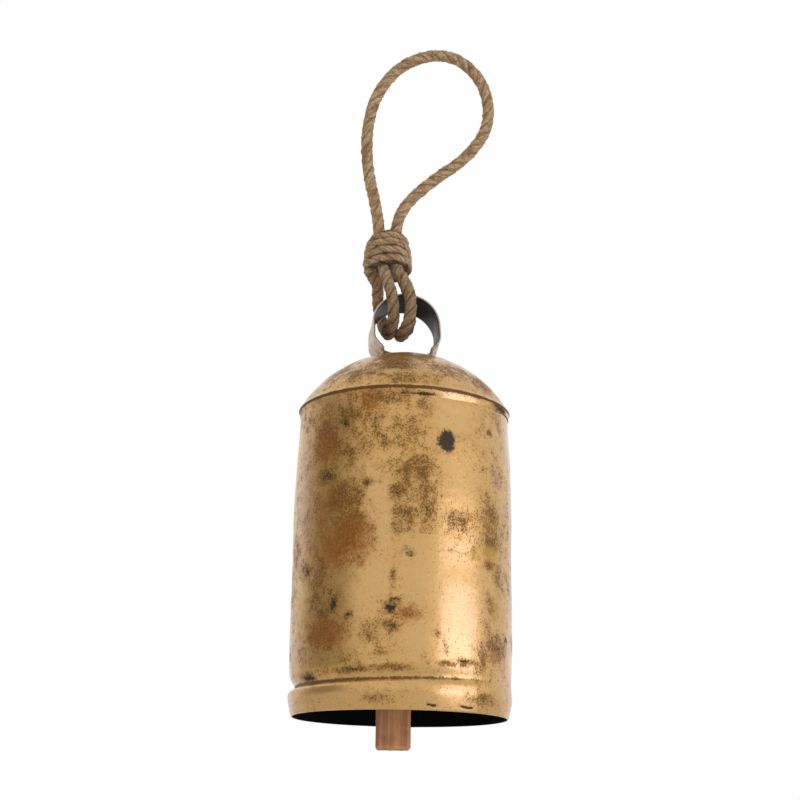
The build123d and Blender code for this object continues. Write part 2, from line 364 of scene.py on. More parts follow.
class Shade:
    """An output socket in a node tree. Arithmetic on it adds Math nodes."""

    def __init__(self, tree, socket=None):
        self.tree = tree
        self.socket = socket

    def node(self, kind, settings=None, inputs=None, output=0):
        """Adds a node, makes its settings, fills or links its inputs and wraps one of its outputs."""
        made = self.tree.nodes.new(kind)
        for name, value in (settings or {}).items():
            setattr(made, name, value)
        for name, value in (inputs or {}).items():
            if isinstance(value, Shade):
                self.tree.links.new(value.socket, made.inputs[name])
            else:
                made.inputs[name].default_value = value
        return Shade(self.tree, made.outputs[output] if made.outputs else None)

    def math(self, operation, *values):
        return self.node("ShaderNodeMath", {"operation": operation}, dict(enumerate(values)))

    def __add__(self, other):
        return self.math("ADD", self, other)

    def __radd__(self, other):
        return self.math("ADD", other, self)

    def __sub__(self, other):
        return self.math("SUBTRACT", self, other)

    def __rsub__(self, other):
        return self.math("SUBTRACT", other, self)

    def __mul__(self, other):
        return self.math("MULTIPLY", self, other)

    def clamp(self):
        return self.node("ShaderNodeClamp", None, {"Value": self})

    def most(self, other):
        return self.math("MAXIMUM", self, other)

    def rise(self, low, high):
        """0 where this is below low, 1 above high, smooth between."""
        return self.node("ShaderNodeMapRange", {"interpolation_type": "SMOOTHSTEP"},
                         {"Value": self, "From Min": low, "From Max": high})

    def attribute(self, name, output="Fac"):
        return self.node("ShaderNodeAttribute", {"attribute_name": name}, None, output)

    def place(self, stretch=(1, 1, 1)):
        """Object coordinates, stretched along the axes."""
        at = self.node("ShaderNodeTexCoord", None, None, "Object")
        return at.scaled(stretch)

    def scaled(self, stretch):
        return self.node("ShaderNodeVectorMath", {"operation": "MULTIPLY"}, {0: self, 1: stretch})

    def noise(self, size, detail, roughness, distortion=0.0):
        """Cloudy noise with blobs about that size in metres, about 0.5 on average."""
        return self.node("ShaderNodeTexNoise", None,
                         {"Vector": self, "Scale": 1 / size, "Detail": detail,
                          "Roughness": roughness, "Distortion": distortion})

    def mixed(self, first, second):
        """The first colour where this is 0 and the second where it is 1."""
        both = [c if isinstance(c, Shade) else (*c, 1) for c in (first, second)]
        return self.node("ShaderNodeMix", {"data_type": "RGBA"}, {0: self, 6: both[0], 7: both[1]}, 2)

    def bump(self, height, strength=1.0):
        """A normal bent by a height in metres."""
        inputs = {"Height": height, "Distance": 1.0, "Strength": strength}
        return self.node("ShaderNodeBump", None, inputs)


def new_material(finish_of, settings):
    """A material named after its finish, which gives the Principled shader's inputs from the settings."""
    name = finish_of.__name__
    material = bpy.data.materials.get(name) or bpy.data.materials.new(name)
    material.use_nodes = True
    tree = material.node_tree
    tree.nodes.clear()
    shade = Shade(tree)
    surface = shade.node("ShaderNodeBsdfPrincipled", None, finish_of(shade, settings))
    shade.node("ShaderNodeOutputMaterial", None, {"Surface": surface})
    return material


def aged_braze(shade, finish):
    """Rubbed braze over iron: cloudy brown film, clusters of fine specks and pits, burnt red patches,
    black scale with a brown rim, and dirt with painted shade in the seams, under the lip and in the
    groove."""
    at = shade.place()
    fine = at.noise(1.0 * MM, 3, 0.6)
    dust = at.noise(0.65 * MM, 2, 0.5)
    ragged = at.noise(2.6 * MM, 6, 0.74)
    blotch = at.noise(6 * MM, 6, 0.65)
    cloud = at.noise(24 * MM, 4, 0.55)
    streak = shade.place((1, 1, 0.06)).noise(1.6 * MM, 3, 0.5)
    tarnish, polish, lining_and_shade = (shade.attribute(name) for name in ("tarnish", "polish", "lining_and_shade"))
    crevice_dirt_and_shade = shade.attribute("crevice_dirt_and_shade")

    uneven = (blotch - 0.5) * 2.0 + (ragged - 0.5) * 1.1 + (cloud - 0.5) * 1.2
    film = (tarnish + uneven * 0.9 - polish * 0.3 + 0.05).rise(0.0, 1.3)
    cluster = (tarnish * 1.1 + uneven - polish * 0.5).rise(0.0, 1.2)
    specks = (fine + cluster * 0.165 - polish * 0.05).rise(0.60, 0.67)
    dots = (dust + cluster * 0.12 - polish * 0.04 + (fine - 0.5) * 0.35).rise(0.62, 0.68)
    pits = (ragged + cluster * 0.1 - polish * 0.03).rise(0.64, 0.68)
    # The copper mask also carries the lip's painted glints and its painted dark red line.
    copper = (shade.attribute("copper") + (ragged - 0.5) * 1.3 + (fine - 0.5) * 0.7).rise(0.2, 0.8)
    yellow = (shade.attribute("yellow") + (fine - 0.5) * 1.6).rise(0.3, 0.7)
    rose = (shade.attribute("rose") + (blotch - 0.5) * 1.5).rise(0.2, 0.9)
    # The black scale also paints the dark line under the lip: painted shade.
    black = shade.attribute("soot_and_lip_shade") + (ragged - 0.5) * 1.1 + (fine - 0.5) * 0.9
    soot_and_lip_shade = black.rise(0.42, 0.68)
    rim = black.rise(0.12, 0.6)
    # Dirt and painted shade in the groove, under the lip and flange and along the lap. The dirt mask
    # below takes in this painted shade as well as the real specks, dots and pits.
    seam = (crevice_dirt_and_shade + (fine - 0.5) * 1.4 + (blotch - 0.5) * 1.2).rise(0.25, 0.85)
    dirt = (specks * 0.95).most(dots * 0.8).most(pits * 0.85).most(seam * 0.95).most(rim * 0.6)

    base = film.mixed(finish.gold, finish.dull)
    base = (rose * 0.6).mixed(base, finish.rose)
    base = (copper * 0.5).mixed(base, finish.copper)
    base = (dirt * (0.54 + film * 0.3)).mixed(base, finish.brown)
    base = (copper * (0.45 - dirt * 0.2)).clamp().mixed(base, finish.copper)
    base = (yellow * 0.6).mixed(base, finish.yellow)
    # Painted shade and dirt darken the groove, the seams and the line under the lip.
    base = (seam * 0.85).mixed(base, finish.brown)
    base = (soot_and_lip_shade * 0.94).mixed(base, finish.soot_and_lip_shade)
    # The inside goes near black: blackened iron and painted shade.
    base = lining_and_shade.mixed(base, finish.lining_and_shade)

    matt = (film * 0.8).most(dirt * 0.8)
    roughness = 0.29 + matt * 0.2 + copper * 0.06 + (streak - 0.5) * 0.12
    roughness = roughness.most(soot_and_lip_shade * 0.62).most(lining_and_shade * 0.85)
    metal = (1 - dirt * 0.5 - film * 0.1 - copper * 0.1 - soot_and_lip_shade - lining_and_shade).clamp()
    coat = ((0.55 + polish * 0.45 - matt * 0.8 - soot_and_lip_shade * 0.5) * (1 - lining_and_shade)).clamp()
    relief = (fine * 0.03 - dirt * 0.08 + blotch * 0.22 + ragged * 0.05 + streak * 0.015) * MM
    return {
        "Base Color": base, "Roughness": roughness, "Metallic": metal, "Coat Weight": coat,
        "Coat Roughness": 0.14, "Coat IOR": 1.6, "Specular IOR Level": 0.12,
        "Normal": shade.bump(relief, 0.9),
    }


def strip_steel(shade, finish):
    """Cold-rolled strip: brushed along its length, dark inside the arch as partly painted shade, and
    washed with braze outside.
    """
    along = shade.attribute("along", "Vector")
    brushed = along.scaled((1, 1, 0.05)).noise(0.5 * MM, 4, 0.6)
    at = shade.place()
    blotch = at.noise(4 * MM, 5, 0.62)
    fine = at.noise(0.7 * MM, 4, 0.65)
    inside = shade.attribute("inside")
    foot = shade.attribute("foot")
    rust = (blotch + fine * 0.5 + foot * 0.3 - 0.25).rise(0.55, 0.75)
    washed = (blotch * 0.6 + brushed * 0.4).rise(0.35, 0.65).mixed(finish.washed, finish.washed_blotch)
    # The dark inner face partly stands in for the shade inside the arch and under the rope: painted
    # shade.
    dark = brushed.rise(0.3, 0.7).mixed(finish.steel, finish.steel_streak)
    base = inside.mixed(washed, dark)
    base = (foot * (0.2 + blotch * 0.9)).clamp().mixed(base, finish.bail_foot)
    base = (rust * 0.6).mixed(base, finish.brown)
    roughness = 0.34 + brushed * 0.16 + rust * 0.2 + foot * 0.2
    metal = (1 - rust * 0.4 - inside * 0.3 - foot * 0.3).clamp()
    relief = (brushed * 0.03 + fine * 0.03 + blotch * 0.1) * MM
    return {"Base Color": base, "Roughness": roughness, "Metallic": metal, "Normal": shade.bump(relief)}


def drawn_wire(shade, finish):
    """Soft iron wire, blackened and a little rusty."""
    at = shade.place()
    fine = at.noise(0.8 * MM, 4, 0.6)
    blotch = at.noise(6 * MM, 5, 0.6)
    drawn = shade.place((1, 1, 0.04)).noise(0.4 * MM, 3, 0.5)
    rust = (blotch + fine * 0.5 - 0.2).rise(0.5, 0.72)
    base = drawn.rise(0.3, 0.7).mixed(finish.wire, finish.wire_streak)
    base = (rust * 0.75).mixed(base, finish.rust)
    metal = (1 - rust * 0.6).clamp()
    relief = (fine * 0.04 + drawn * 0.02) * MM
    return {"Base Color": base, "Roughness": 0.42 + rust * 0.3, "Metallic": metal,
            "Normal": shade.bump(relief)}


def sawn_wood(shade, finish):
    """Close reddish hardwood: grain runs down the bar, with dark pores and handling dirt."""
    rings = shade.place((1, 0.35, 0.03)).noise(2.2 * MM, 3, 0.5, 0.6)
    fibre = shade.place((1, 1, 0.03)).noise(0.5 * MM, 5, 0.65)
    pores = shade.place((1, 1, 0.08)).noise(0.6 * MM, 2, 0.5).rise(0.62, 0.72)
    saw = shade.place((0.15, 0.15, 1)).noise(1.1 * MM, 3, 0.6)
    blotch = shade.place().noise(9 * MM, 4, 0.6)
    end = shade.attribute("end")
    base = rings.rise(0.38, 0.66).mixed(finish.wood, finish.late_wood)
    base = (fibre.rise(0.35, 0.7) * 0.5).mixed(base, finish.late_wood)
    base = (pores * 0.4).mixed(base, finish.pores)
    base = (blotch.rise(0.5, 0.7) * 0.35 + end * 0.3).clamp().mixed(base, finish.handled)
    relief = (fibre * 0.1 + saw * 0.09 - pores * 0.08) * MM
    return {"Base Color": base, "Roughness": 0.62 + fibre * 0.2, "Normal": shade.bump(relief)}


def jute(shade, finish):
    """Laid jute: fibres along the lay, pale and reddish yarns in turn, and fluff and dirt over them.
    Painted shade darkens the grooves between strands and the gaps between the wraps; the cut end is
    darker too, and the rope darkens towards its lower end."""
    fibre = shade.attribute("fibre", "Vector")
    groove = shade.attribute("groove")
    low_tail_and_wrap_shade = shade.attribute("low_tail_and_wrap_shade")
    at = shade.place()
    hairs = fibre.scaled((1, 1, 0.12)).noise(0.3 * MM, 4, 0.7, 0.4)
    yarns = fibre.scaled((1, 1, 0.3)).noise(1.4 * MM, 5, 0.65, 0.5)
    patch = fibre.scaled((1, 1, 0.5)).noise(3.4 * MM, 4, 0.6)
    fluff = at.noise(0.7 * MM, 5, 0.72)
    lumps = at.noise(1.6 * MM, 5, 0.68)
    base = yarns.rise(0.4, 0.62).mixed(finish.jute, finish.pale_jute)
    base = (patch.rise(0.48, 0.64) * 0.8).mixed(base, finish.red_jute)
    base = (hairs.rise(0.5, 0.66) * 0.55).mixed(base, finish.pale_jute)
    base = (fluff.rise(0.5, 0.66) * 0.6).mixed(base, finish.dark_jute)
    base = (lumps.rise(0.54, 0.66) * 0.55).mixed(base, finish.dark_jute)
    # Painted shade in the grooves between strands and the gaps between wraps; the cut end and the lower
    # rope are darkened too.
    base = (groove * (0.1 + lumps * 0.7) + low_tail_and_wrap_shade * 0.85).clamp().mixed(base, finish.dark_jute)
    relief = (hairs * 0.2 + yarns * 0.35 + fluff * 0.25 + lumps * 0.3) * MM
    return {
        "Base Color": base, "Roughness": 0.95, "Sheen Weight": 0.1, "Sheen Roughness": 0.5,
        "Specular IOR Level": 0.12, "Normal": shade.bump(relief),
    }


def loose_fibre(shade, finish):
    """Single jute hairs, paler than the rope."""
    tone = shade.place().noise(2.5 * MM, 3, 0.5)
    base = tone.rise(0.35, 0.65).mixed(finish.jute, finish.pale_jute)
    return {"Base Color": base, "Roughness": 0.9, "Specular IOR Level": 0.2,
            "Normal": shade.bump(tone * 0.05 * MM)}


def floor_paper(shade, settings):
    """Matt paper with a barely visible tooth."""
    tooth = shade.place().noise(3 * MM, 3, 0.5)
    base = (tooth * 0.06).mixed(settings.floor_tone, settings.floor_tooth)
    return {"Base Color": base, "Roughness": 0.9}


# =============================== the bell ===============================

# Outer radius of the shell in millimetres by height, without the groove.
SHELL_OUTLINE = [
    (0, 60.2), (3, 60.9), (6, 61.5), (10, 62.1), (12.5, 62.0), (16, 61.75), (23, 61.7), (30, 61.8),
    (36, 62.0), (43, 62.0), (60, 61.85), (77, 61.5), (94, 61.5), (111, 61.6), (125, 61.3),
    (135, 60.9), (145, 60.5), (156, 59.7), (162, 59.3), (166, 59.2), (167.6, 59.1), (168.6, 58.9),
    (171, 58.85),
]
GROOVE_HEIGHT = 16.6 * MM
GROOVE_CLIMB = 1.4 * MM
GROOVE_LOWER_FLANK = 1.75 * MM
GROOVE_UPPER_FLANK = 4.2 * MM
DEEPEST_GROOVE = 3.2 * MM

# The crown's flange, down its outside and then up its inside, as shares of the lip's radius and of the
# drop from the lip to the flange's foot. The first FLANGE_OUTSIDE rows are not given the near-black
# lining, which is blackened iron and painted shade.
FLANGE = [
    (1.001, -.03), (1.001, -.1), (.9985, -.15), (.995, -.19), (.994, -.4), (.9925, -.7), (.991, -.9),
    (.989, -.98), (.987, -1.0), (.9845, -.98), (.982, -.9), (.982, -.5), (.982, -.2),
]
FLANGE_OUTSIDE = 10

# The bail's bends from a tab up to its shoulder, in millimetres.
BAIL_BENDS = [1.2, 4, 8]
BAIL_STEP = 0.7 * MM

# Stains: bearing in degrees from the front, height above the mouth, half width and half height in
# millimetres, and strength.
TARNISH = [
    (-44, 146, 13, 15, 1.15), (-32, 158, 15, 10, .95), (-20, 165, 9, 9, .95), (-14, 153, 4, 7, .9),
    (-10, 144, 3, 6, .8), (-30, 137, 13, 9, .85), (-43, 126, 9, 7, 1), (-35, 113, 16, 10, 1.15),
    (-18, 121, 5, 2.6, 1), (-33, 93, 17, 16, 1.2), (-15, 92, 5, 12, .7), (2, 150, 9, 11, .8),
    (11, 164, 5, 7, .85), (-8, 168, 14, 5, .8), (0, 125, 7, 9, .8), (-2, 116, 5, 5, .95),
    (8, 128, 9, 11, .75), (12, 105, 6, 11, .9), (0, 103, 7, 10, .85), (6, 113, 11, 11, .75),
    (4, 82, 4, 3, .95), (-4.5, 70, 2.4, 8, .85), (-5, 54, 6, 5, 1), (3, 50, 7, 5, .85),
    (-6, 43, 8, 4.5, .95), (-15, 39, 7, 7, .85), (-36, 57, 5, 9, .95), (-27, 50, 3.6, 3, 1),
    (-43, 52, 9, 6, .95), (-42, 40, 12, 9, 1.15), (-30, 28, 11, 5, .65), (-10, 30, 9, 4, .6),
    (-25, 21, 13, 2.2, 1), (-5, 22, 13, 2, .95), (11, 30, 1.8, 6, .8), (22, 25, 10, 2, .95),
    (35, 26, 9, 2.2, 1), (42, 24, 5, 3, .8), (-55, 19, 9, 3, 1), (-12, 6, 9, 3, .8),
    (-5, 10, 11, 2, .5), (45, 7, 9, 4, .9), (30, 100, 9, 9, .7), (27, 84.5, 9, 1.8, .8),
    (40, 85, 6, 4, .7), (50, 92, 12, 9, 1), (50, 80, 6, 3.4, 1), (50, 107, 9, 15, .8),
    (52, 154, 2.6, 2.2, 1), (52, 58, 6, 6, .9), (55, 35, 14, 8, .95), (47, 30, 7, 6, .85),
    (46, 47, 5, 8, .75), (18, 40, 2.6, 3, .9), (22.5, 33, 1.6, 4, .75), (33, 148, 8, 3, .65),
    (-48, 62, 8, 16, .95), (-46, 77, 9, 9, .9), (-58, 75, 8, 7, .95), (-57, 102, 10, 32, .5),
    (-58, 45, 10, 20, .45), (-58, 150, 8, 22, .55), (56, 128, 8, 10, .7), (60, 75, 8, 14, .55),
    (44, 160, 8, 8, .5), (60, 160, 10, 8, .45), (72, 100, 10, 60, .4), (-72, 90, 10, 60, .4),
]
# The rows at 171 to 172 mm colour the lip: on the right they paint its orange glints, a painted
# highlight, and on the left its dark red line, painted shade.
COPPER = [
    (-27, 92, 12, 12, 1), (-23, 86, 7, 8, .9), (-36, 86, 14, 9, .9), (-30, 101, 6, 4, .65),
    (-45, 105, 7, 12, .65), (-36, 111, 14, 8, .5), (-44, 143, 9, 10, .8), (-18, 166, 7, 7, .9),
    (-41, 41, 13, 9, .9), (3, 50, 7, 5, .8), (-48, 152, 7, 14, .55), (50, 80.5, 6, 3, .75),
    (61, 171, 8, 3, .9), (36, 172, 14, 1.6, .6), (-22, 77, 5, 4, .65), (-12, 172, 18, 1.8, .6),
    (52, 100, 7, 10, .45), (52, 32, 8, 6, .5),
]
YELLOW = [
    (-39, 97, 6, 9, .45), (-45, 88, 6, 7, .4), (50, 86, 9, 4, 1), (58, 59, 7, 9, .9),
    (40, 84, 7, 4, .75), (-62, 52, 7, 15, .7), (-44, 118, 7, 8, .5),
]
ROSE = [
    (-62, 120, 8, 42, .95), (-57, 106, 6, 22, .8), (-62, 145, 8, 15, .8), (56, 128, 7, 7, .8),
    (66, 112, 6, 7, .8), (-65, 38, 8, 18, .6), (48, 35, 7, 5, .6), (30, 174, 10, 2, .6),
]
# The rows at 170 to 171 mm paint the dark line under the lip and the black gap under its right end:
# painted shade.
SOOT_AND_LIP_SHADE = [
    (22.5, 144.8, 4.8, 5.6, 1.15), (-4, 57.5, 2.8, 1.9, .76), (-5.5, 52.5, 3.4, 3.4, .82),
    (0, 58.5, 3.4, 1.5, .6), (-36, 56, 2.6, 5.6, .76), (-38, 62, 2.2, 3, .6), (-27, 50, 2.8, 1.9, .72),
    (-42, 127, 4.8, 2.9, .7), (-46, 125, 3, 2, .6), (-32, 155, 6, 4, .55), (-15, 153, 2.2, 4, .56),
    (-18, 121, 3.6, 1.4, .66), (-10, 144, 1.7, 4, .55), (-3, 115.5, 2.6, 1.9, .7),
    (4, 82, 2.2, 1.8, .6), (-5, 43, 4.4, 2.5, .6), (11, 170.5, 7, 1.2, .95), (0, 171, 6, 1.1, .75),
    (-54, 18, 7, 2, .76), (-25, 21, 9, 1.1, .58), (17, 2.6, 1.7, .8, 1), (14, 3, 1.4, .7, .85),
    (33, 2.8, 2.4, .8, .9), (37, 2.4, 3.2, .8, .95), (33, 26.5, 4.6, 1, .74), (66, 170, 7, 1.5, 1),
    (60, 171, 5, 1, .8), (50, 80, 2.4, 1.5, .58), (67, 41, 3, 2, .75), (-57, 75, 4, 3, .58),
    (-62, 33, 3, 3, .55), (22, 33, 1, 3, .58), (18, 40, 1.5, 1.7, .62), (52, 154, 1.4, 1.2, .66),
    (-43, 52, 4, 3, .55), (57, 36, 7, 2, .55), (12, 104, 2, 4, .5), (0, 104, 3, 4, .5),
]
POLISH = [
    (-14, 112, 5, 13, 1), (-10, 95, 4.5, 20, 1), (-14, 70, 9, 15, 1), (-20, 60, 8, 9, .8),
    (8, 72, 9, 18, 1), (8, 38, 8, 11, 1), (29, 55, 14, 26, 1), (27, 156, 14, 10, .9),
    (28, 122, 9, 14, .8), (-22, 33, 7, 5, .6), (22, 168, 12, 6, .8), (5, 11, 14, 5, .6),
    (-30, 9, 14, 5, .5), (26, 9, 12, 5, .6), (49, 69, 6, 6, .5), (-22, 130, 8, 5, .6),
]
CROWN_TARNISH = [
    (-8, 191, 18, 5, .95), (-30, 185, 12, 7, .9), (-52, 190, 16, 9, .8), (30, 188, 18, 7, .7),
    (4, 180, 24, 4, .7), (-20, 198, 14, 5, .7), (55, 184, 14, 6, .7), (16, 197, 12, 4, .6),
]
CROWN_SOOT = [(-6, 188, 8, 3, .5), (-20, 187, 5, 2.5, .42), (6, 190, 8, 2.2, .4)]


def stained(spots, bearing, height):
    """The strongest of soft oval spots, each falling off as the bell curve of its distance."""
    field = np.zeros(np.broadcast(bearing, height).shape)
    for spot_bearing, spot_height, half_width, half_height, strength in spots:
        turn = (bearing - radians(spot_bearing) + pi) % (2 * pi) - pi
        across = turn * LIP_RADIUS / (half_width * MM)
        up = (height - spot_height * MM) / (half_height * MM)
        field = np.maximum(field, strength * np.exp(-0.7 * (across**2 + up**2)))
    return field


def scattered(count, seed, low, high, size, strength):
    """Seeded spots for the sides and the back, as rows of bearing, height, half sizes and strength."""
    random = np.random.default_rng(seed)
    bearings = random.uniform(75, 285, count)
    heights = random.uniform(low, high, count)
    widths = size * random.uniform(0.5, 1.6, count)
    tall = widths * random.uniform(0.6, 1.7, count)
    strengths = strength * random.uniform(0.6, 1.1, count)
    return np.stack([bearings, heights, widths, tall, strengths], axis=1).tolist()


def braze_stains(bearing, height, lining_and_shade, crevice_dirt_and_shade):
    """The attributes that the braze finish reads, at each point."""
    spots = {
        "tarnish": TARNISH + scattered(34, 11, 0, 200, 14, .8),
        "copper": COPPER + scattered(9, 12, 10, 190, 10, .7),
        "yellow": YELLOW + scattered(6, 13, 20, 160, 8, .6),
        "rose": ROSE + scattered(7, 14, 20, 180, 10, .6),
        "soot_and_lip_shade": SOOT_AND_LIP_SHADE + scattered(26, 15, 2, 175, 3, .7),
        "polish": POLISH + scattered(12, 16, 10, 160, 14, .8),
    }
    fields = {name: stained(rows, bearing, height) for name, rows in spots.items()}
    fields["lining_and_shade"] = np.broadcast_to(lining_and_shade, fields["soot_and_lip_shade"].shape)
    fields["crevice_dirt_and_shade"] = np.broadcast_to(crevice_dirt_and_shade, fields["soot_and_lip_shade"].shape)
    return fields


def groove_middle(bearing):
    """Height of the groove's bottom: it climbs from the left to the right."""
    return GROOVE_HEIGHT + GROOVE_CLIMB * np.sin(bearing + 0.1)


def groove_cut(bearing, height, sizes):
    """Depth of the rolled groove: a steep lower flank and a slow upper one, deepest to the left."""
    drift = -np.sin(bearing + 0.12) + 0.22 * np.sin(3 * bearing + 0.8)
    depth = np.maximum(sizes.groove + sizes.groove_drift * drift, 0.15 * MM)
    up = height - groove_middle(bearing)
    return depth * np.where(up < 0, hump(up, GROOVE_LOWER_FLANK), hump(up, GROOVE_UPPER_FLANK))


def shell_dirt_and_shade(bearing, height, sizes):
    """Dirt and painted shade: darker in the groove, under the flange at the back and along the lap."""
    middle = groove_middle(bearing)
    groove_share = groove_cut(bearing, middle, sizes) / DEEPEST_GROOVE
    in_groove = 1.6 * groove_share * hump(height - middle + 0.2 * MM, 1.0 * MM)
    at_back = 1 - smooth(np.cos(bearing), -0.5, 0.6)
    under_flange = smooth(height, FLANGE_FOOT - 1.6 * MM, FLANGE_FOOT - 0.2 * MM)
    lap = pi - sizes.lap / 2
    by_lap = smooth(bearing, lap - sizes.joggle, lap) * smooth(-bearing, -pi, -lap)
    return most(in_groove, 0.75 * under_flange * at_back, 0.7 * by_lap)


def shell_sheet(sizes):
    """The rolled sheet. Bearing runs round once and on over the lap, and a closed loop of height and
    depth in the sheet goes up the outside and down the inside; the radius is the outline by height less
    the groove, with shallow dents, and the lap steps outwards by one sheet."""
    half_lap = sizes.lap / 2
    lap = pi - half_lap
    bearing = np.linspace(-pi - half_lap, pi + half_lap, sizes.columns)[:, None]
    low = np.linspace(0.3, 32, 58)
    high = np.linspace(32, SHELL_TOP / MM - 0.3, 86)[1:]
    levels = np.r_[low, high] * MM
    edge = 0.1 * MM
    up = np.r_[0, edge, levels, SHELL_TOP - edge, SHELL_TOP]
    depth = np.r_[0.38, 0.1, np.zeros(len(levels)), 0.1, 0.38] * sizes.sheet
    height = np.r_[up, up[::-1]][None, :]
    depth = np.r_[depth, (sizes.sheet - depth)[::-1]][None, :]

    cut_down = smooth(bearing, lap - 2.2 * sizes.joggle, lap - 1.2 * sizes.joggle)
    top = SHELL_TOP - cut_down * (SHELL_TOP - FLANGE_FOOT + sizes.lap_gap)
    height = height * top / SHELL_TOP
    lift = sizes.sheet * smooth(bearing, lap - sizes.joggle, lap)

    radius = curve_through(height / MM, SHELL_OUTLINE) * MM
    radius = radius - groove_cut(bearing, height, sizes)
    surface = on_bell(bearing, radius, height)
    below_neck = 1 - smooth(height, 150 * MM, 163 * MM)
    dents = 0.65 * unevenness(surface, 55 * MM, 3) + 0.35 * unevenness(surface, 19 * MM, 4)
    radius = radius + (0.45 * dents - 0.4) * sizes.dent * below_neck + lift - depth
    points = on_bell(bearing, radius, height)

    columns, loop = points.shape[:2]
    half = np.arange(loop // 2 - 1)
    end = np.stack([half, half + 1, loop - 2 - half, loop - 1 - half], axis=1)
    faces = [quads(columns, loop, around_rows=True), end, end + (columns - 1) * loop]
    # The inside is near black: blackened iron and painted shade.
    lining_and_shade = smooth(depth, 0.35 * sizes.sheet, 0.7 * sizes.sheet)
    crevice_dirt_and_shade = shell_dirt_and_shade(bearing, height, sizes)
    return make_mesh("bell_shell", points, faces, braze_stains(bearing, height, lining_and_shade, crevice_dirt_and_shade))


def bail_frame():
    """The bail's centre, and its own axes: across the arch, up the bail and through the strip's width."""
    through = joint_axes["bell_swing"].normalized()
    across = Vector((-through.y, through.x, 0)).normalized()
    if across.x < 0:
        across = -across
    up = through.cross(across)
    if up.z < 0:
        up = -up
    return [np.array(v) for v in (joint_places["bell_swing"], across, up, through)]


def braze_round_legs(points, sizes, bail):
    """How far the braze stands up along the line where each leg goes in: a bell curve outside the arch,
    and inside it a parabola that runs out flat on the dome."""
    centre, across, up, through = bail_frame()
    local = points - centre
    outwards = np.abs(local @ across) - bail.leg_span
    beyond = np.maximum(np.abs(local @ through) - bail.width / 2 + 1.5 * MM, 0)
    outside = sizes.braze * hump(outwards, 2.4 * MM)
    inside = sizes.fillet * np.clip(1 + outwards / sizes.fillet_reach, 0, 1) ** 2
    inside = inside * np.where(outwards > 0, hump(outwards, 1.2 * MM), 1)
    return np.maximum(outside, inside) * hump(beyond, 2.2 * MM)


def crown_profile(sizes):
    """Radii and heights along the cap's line, with its lip's angle on the sphere, its lip's height, and
    which of its points are blackened with painted shade: those of the inside. The line goes from the top
    down the outside of a sphere, over the lip, down and under the flange, and back up the inside."""
    ball = (LIP_RADIUS**2 + sizes.crown_rise**2) / (2 * sizes.crown_rise)
    centre = CROWN_TOP - ball
    lip = np.arcsin(LIP_RADIUS / ball)
    outside = np.linspace(0.012, 1, 84) ** 0.9 * (lip - 0.012)
    inner_ball = ball - sizes.sheet
    neck = LIP_RADIUS - sizes.sheet
    inside = np.linspace(np.arcsin(neck / inner_ball), 0.02, 30)
    lip_height = centre + ball * cos(lip)
    flange = np.array(FLANGE)
    flange_heights = lip_height + flange[:, 1] * (lip_height - FLANGE_FOOT)
    radii = np.r_[ball * np.sin(outside), flange[:, 0] * LIP_RADIUS, inner_ball * np.sin(inside)]
    heights = np.r_[centre + ball * np.cos(outside), flange_heights, centre + inner_ball * np.cos(inside)]
    is_inside = np.arange(radii.size) >= len(outside) + FLANGE_OUTSIDE
    return radii, heights, lip, lip_height, is_inside


def crown_sheet(sizes, bail):
    """The pressed cap: its line carried round by bearing. The flange waves, its edge is beaten in and the
    lip stands higher at the front, the dome is dented, and braze stands up round the bail's legs."""
    bearing = np.linspace(-pi, pi, sizes.columns, endpoint=False)[:, None]
    radii, heights, lip, lip_height, is_inside = crown_profile(sizes)
    radius, height = np.broadcast_arrays(radii, heights + 0 * bearing)

    near_rim = smooth(radius, 0.9 * LIP_RADIUS, LIP_RADIUS)
    ripple = 0.6 * np.sin(5 * bearing + 1.0) + 0.4 * np.sin(11 * bearing)
    low = smooth(-height, -lip_height, -FLANGE_FOOT)
    height = height + sizes.flange_wave * ripple * low
    radius = radius - sizes.tuck * low * np.clip(np.cos(bearing + 0.25), 0, 1)
    lifted = sizes.lip_lift * np.clip(np.cos(bearing + 0.1), 0, 1) ** 2
    height = height + lifted * np.minimum(smooth(radius, 0.7 * LIP_RADIUS, 0.97 * LIP_RADIUS), 1 - low)
    points = on_bell(bearing, radius, height)
    outer = np.where(is_inside, 0, 1)
    dents = 0.6 * unevenness(points, 34 * MM, 7) + 0.5 * unevenness(points, 13 * MM, 8)
    sink = (0.4 * dents - 0.45) * sizes.dent * (1 - near_rim)
    rise = sink + outer * braze_round_legs(points, sizes, bail)
    above_lip = height - lip_height - lifted
    rise = rise - outer * 0.4 * MM * hump(above_lip - 2.4 * MM, 1.6 * MM)
    points = on_bell(bearing, radius + rise * np.sin(lip) * radius / LIP_RADIUS, height + rise * 0.9)

    columns, loop = points.shape[:2]
    poles = on_bell(0.0, 0.0, np.array([CROWN_TOP - 0.15 * MM, CROWN_TOP - sizes.sheet]))
    count = columns * loop
    top = np.arange(columns) * loop
    faces = [quads(columns, loop, around_columns=True), fan(top, count), fan(top + loop - 1, count + 1)]
    # Painted shadow: a dark line under the lip's edge, with darker braze round the bail's legs.
    under_lip = hump(above_lip + 0.7 * MM, 0.75 * MM)
    at_legs = braze_round_legs(points, sizes, bail) / sizes.fillet
    crevice_dirt_and_shade = outer * np.maximum(1.3 * under_lip, 0.75 * at_legs)
    stains = braze_stains(bearing, height, 1 - outer, crevice_dirt_and_shade)
    for name, spots in (("tarnish", CROWN_TARNISH), ("soot_and_lip_shade", CROWN_SOOT)):
        stains[name] = np.maximum(stains[name], stained(spots, bearing, height))
    attributes = {name: with_ends(values, values[0, [0, -1]]) for name, values in stains.items()}
    return make_mesh("bell_crown", with_ends(points, poles), faces, attributes)


